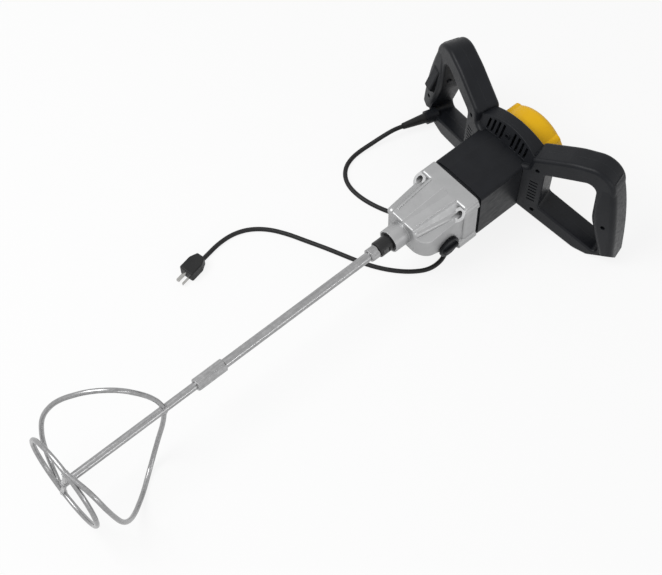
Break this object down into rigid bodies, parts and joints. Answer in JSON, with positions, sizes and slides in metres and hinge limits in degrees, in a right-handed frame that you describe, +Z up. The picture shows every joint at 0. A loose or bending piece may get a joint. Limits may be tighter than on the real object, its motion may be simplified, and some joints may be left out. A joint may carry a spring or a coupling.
{
  "type": "mixing drill",
  "caption": "Two-handed electric mixing drill lying on its back, with a twin D-handle yoke, gear case, extension rod, ring paddle with bent wires, cord and plug.",
  "frame": {"origin": "on the floor under the middle of the tool's length, below the spindle axis", "axes": "+X along the spindle from the paddle ring to the rear cap, +Y towards the trigger handle, +Z up from the floor the tool lies on"},
  "size_m": [0.9884, 0.4735, 0.2256],
  "materials": {
    "zinc_steel": "drawn rod, zinc plated, satin",
    "black_steel": "black oxide, satin",
    "gear_steel": "cut and oiled",
    "bearing_steel": "ground",
    "cast_aluminium": "die cast, satin",
    "core_laminations": "stacked steel sheet",
    "copper": "enamelled copper wire",
    "black_plastic": "glass filled nylon, fine texture",
    "yellow_plastic": "moulded, semi gloss",
    "black_rubber": "matt",
    "carbon": "pressed carbon",
    "bright_brass": "plated"
  },
  "bodies": {
    "root": {"fork_rail": "gear_steel", "spindle_seal": "black_rubber", "spindle_front_bearing": "bearing_steel", "spindle_rear_bearing": "bearing_steel", "countershaft_front_bearing": "bearing_steel", "countershaft_rear_bearing": "bearing_steel", "gear_case": "cast_aluminium", "gear_plate": "cast_aluminium", "case_gasket": "black_rubber", "case_screws": "black_steel", "motor_housing": "black_plastic", "stator_core": "core_laminations", "field_coils": "copper", "armature_front_bearing": "bearing_steel", "armature_rear_bearing": "bearing_steel", "bearing_bracket": "black_plastic", "brush_holders": "black_plastic", "carbon_brushes": "carbon", "brush_springs": "bearing_steel", "handle_front_shell": "black_plastic", "handle_rear_shell": "black_plastic", "handle_screws": "black_steel", "rear_cap": "yellow_plastic", "cap_screws": "black_steel", "switch_body": "black_plastic", "cord_guard": "black_rubber", "power_cord": "black_rubber", "plug_body": "black_rubber", "plug_blades": "bright_brass", "plug_ground_pin": "bright_brass"},
    "spindle_body": {"paddle_shaft": "zinc_steel", "paddle_ring": "zinc_steel", "paddle_crossbar": "zinc_steel", "paddle_wire_1": "zinc_steel", "paddle_wire_2": "zinc_steel", "hex_coupling": "zinc_steel", "extension_rod": "zinc_steel", "lock_nut": "zinc_steel", "spindle": "black_steel"},
    "low_gear_body": {"low_gear": "gear_steel"},
    "high_gear_body": {"high_gear": "gear_steel"},
    "countershaft_body": {"countershaft": "gear_steel", "high_pinion": "gear_steel", "counter_wheel": "gear_steel"},
    "armature_body": {"armature_shaft": "gear_steel", "armature_core": "core_laminations", "armature_windings": "copper", "commutator": "copper", "fan": "black_plastic"},
    "sleeve_body": {"dog_sleeve": "gear_steel"},
    "fork_body": {"shift_fork": "gear_steel"},
    "selector_body": {"selector_knob": "black_plastic", "selector_shaft": "gear_steel"},
    "trigger_body": {"trigger": "black_plastic"},
    "lock_button_body": {"lock_button": "black_plastic"}
  },
  "joints": [
    {"name": "spindle_spin", "type": "hinge", "parent": "root", "child": "spindle_body", "pos_m": [0, 0, 0.1128], "axis": [1, 0, 0], "continuous": true},
    {"name": "low_gear_spin", "type": "hinge", "parent": "root", "child": "low_gear_body", "pos_m": [0, 0, 0.1128], "axis": [1, 0, 0], "continuous": true},
    {"name": "high_gear_spin", "type": "hinge", "parent": "root", "child": "high_gear_body", "pos_m": [0, 0, 0.1128], "axis": [1, 0, 0], "continuous": true},
    {"name": "countershaft_spin", "type": "hinge", "parent": "root", "child": "countershaft_body", "pos_m": [0, -0.02494, 0.09006], "axis": [1, 0, 0], "continuous": true},
    {"name": "armature_spin", "type": "hinge", "parent": "root", "child": "armature_body", "pos_m": [0, 0, 0.0918], "axis": [1, 0, 0], "continuous": true},
    {"name": "selector_turn", "type": "hinge", "parent": "root", "child": "selector_body", "pos_m": [0.23675, -0.051, 0.0708], "axis": [0, 1, 0], "range_deg": [0, 90]},
    {"name": "fork_slide", "type": "slide", "parent": "root", "child": "fork_body", "axis": [-1, 0, 0], "range_m": [0, 0.004]},
    {"name": "sleeve_slide", "type": "slide", "parent": "spindle_body", "child": "sleeve_body", "axis": [-1, 0, 0], "range_m": [0, 0.004]},
    {"name": "trigger_press", "type": "slide", "parent": "root", "child": "trigger_body", "axis": [0.9567, -0.287, -0.0478], "range_m": [0, 0.007], "stiffness_N_per_m": 600, "springref_m": -0.003},
    {"name": "lock_button_press", "type": "slide", "parent": "root", "child": "lock_button_body", "axis": [0.2908, 0.9485, 0.1258], "range_m": [0, 0.0018], "stiffness_N_per_m": 800, "springref_m": -0.001}
  ],
  "couplings": [
    {"joint": "low_gear_spin", "follows": "spindle_spin", "ratio": 1},
    {"joint": "countershaft_spin", "follows": "spindle_spin", "ratio": -3.5},
    {"joint": "high_gear_spin", "follows": "spindle_spin", "ratio": 1.75},
    {"joint": "armature_spin", "follows": "spindle_spin", "ratio": 18.375},
    {"joint": "selector_turn", "follows": "fork_slide", "rad_per_m": 392.7},
    {"joint": "sleeve_slide", "follows": "fork_slide", "ratio": 1}
  ]
}
